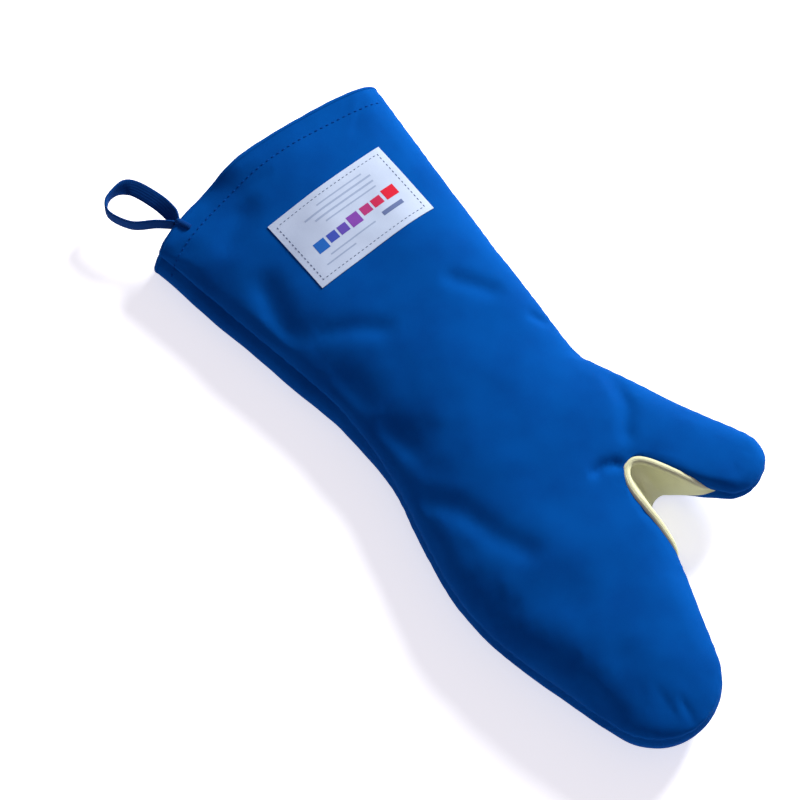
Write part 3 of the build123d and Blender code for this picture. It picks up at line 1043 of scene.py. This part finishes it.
# The label's printing: plain bars in place of what is written on it
for number, (along, over, wide, long, colour) in enumerate(PRINT):
    ink = material(f"ink_{number}", colour, tuple(0.85 * c for c in colour), thread=0.3, relief=0.03)
    piece = patch(f"print_bar_{number}", (along, over), (wide, long), PRINT_UNDER, PRINT_TOP, ink, None)
    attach(piece, "gauntlet")


def hanging_tape():
    """The hanging loop, a tape that turns from its edge to its broad face, and its length."""
    knots = np.array([place[:3] for place in LOOP])
    ways = np.array([place[3:] for place in LOOP], float)
    path = smooth_through(knots, BAR_STEP)
    travel = travelled(knots)
    at = np.linspace(0, travel[-1], len(path))
    wide = np.column_stack([np.interp(at, travel, ways[:, k]) for k in range(3)])
    points, faces = swept(path, wide, TAPE_WIDTH / 2, TAPE_THICK / 2, sides=TAPE_SIDES, power=TAPE_POWER)
    piece = object_from("hanging_tape", points, faces)
    over = np.cos(np.arange(TAPE_SIDES) * 2 * math.pi / TAPE_SIDES) * TAPE_WIDTH / 2
    return clothed(consistent(piece), flat_map(at, over), TAPE, "loop_tape"), travel[-1]


tape, tape_length = hanging_tape()
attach(tape, "hang_loop")
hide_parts("hang_loop")

low, high = (np.array(corner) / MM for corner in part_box("hang_loop_tack"))
middle, half = (low + high) / 2, (high - low) / 2
sewn_way = np.array([math.cos(math.radians(TACK_TURN)), math.sin(math.radians(TACK_TURN)), 0.0])
places = middle + sewn_way * np.linspace(-TACK_LONG / 2, TACK_LONG / 2, TACK_RINGS)[:, None]
upright = np.tile([0, 0, 1.0], (len(places), 1))
points, faces = swept(
    places, upright, half[2], TACK_THICK / 2, sides=TAPE_SIDES, power=TAPE_POWER, taper=8
)
tack = object_from("tape_tack", points, faces)
clothed(consistent(tack), points, TAPE, "loop_tape")
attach(tack, "gauntlet")
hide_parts("hang_loop_tack")

# ---------------------------------------------------------------- the web guard's rolled edge
edge_columns = np.nonzero(guard_share > 0)[0]
edge_line = evenly(base[net.grid["back"][edge_columns, 0]], BAR_STEP)
hits = [outside.find_nearest(Vector(place)) for place in edge_line]
line = np.array([(*place, *normal) for place, normal, _, _ in hits])
for _ in range(GUARD_ROLL_EVENING):
    line[1:-1] = (line[:-2] + 2 * line[1:-1] + line[2:]) / 4
edge_line, swing = line[:, :3], line[:, 3:]
points, faces = swept(edge_line, swing, GUARD_ROLL, GUARD_ROLL, sides=GUARD_ROLL_SIDES, taper=6)
roll = object_from("guard_roll", points, faces)
flat = roll_map(len(edge_line), GUARD_ROLL_SIDES, BAR_STEP)
clothed(consistent(roll), flat, CREAM, "web_guard_cloth")
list(ZONES["grip"])
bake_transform(roll)


# ---------------------------------------------------------------- stage, light and camera
def area_light(name, at, size, power, colour=(1, 1, 1)):
    """A round soft light that faces the mitt."""
    lamp = bpy.data.lights.new(name, "AREA")
    lamp.shape, lamp.size, lamp.energy, lamp.color = "DISK", size, power, colour
    piece = bpy.data.objects.new(name, lamp)
    piece.location = at
    piece.rotation_euler = (-Vector(at)).to_track_quat("-Z", "Y").to_euler()
    bpy.context.scene.collection.objects.link(piece)


corners = [(x * FLOOR_HALF, y * FLOOR_HALF, FLOOR_Z) for x, y in ((-1, -1), (1, -1), (1, 1), (-1, 1))]
floor = object_from("floor", corners, [(0, 1, 2, 3)])
paint = bpy.data.materials.new("floor")
paint.use_nodes = True
set_inputs(paint.node_tree.nodes["Principled BSDF"], {
    "Base Color": (0.86, 0.86, 0.86, 1),
    "Roughness": 0.9,
    "Emission Color": (1, 1, 1, 1),
    "Emission Strength": 0.6,
})
floor.data.materials.append(paint)

area_light("key", (-0.6, 1.7, 0.97), 0.7, 96)
area_light("fill", (1.6, -0.6, 1.8), 1.6, 4, (0.85, 0.88, 1.0))
world = bpy.data.worlds.new("studio")
world.use_nodes = True
set_inputs(world.node_tree.nodes["Background"], {"Color": (0.84, 0.72, 1.0, 1), "Strength": 0.28})
bpy.context.scene.world = world
bpy.context.scene.view_settings.view_transform = "Standard"

azimuth, elevation = math.radians(VIEW_AZIMUTH), math.radians(VIEW_ELEVATION)
level = math.cos(elevation)
backwards = Vector((math.sin(azimuth) * level, -math.cos(azimuth) * level, math.sin(elevation)))
lens = bpy.data.cameras.new("camera")
lens.lens = lens.sensor_width * VIEW_DISTANCE / VIEW_WIDTH
lens.clip_end = 20
camera = bpy.data.objects.new("camera", lens)
camera.location = Vector(VIEW_CENTRE) + backwards * VIEW_DISTANCE
camera.rotation_euler = backwards.to_track_quat("Z", "Y").to_euler()
bpy.context.scene.collection.objects.link(camera)
bpy.context.scene.camera = camera
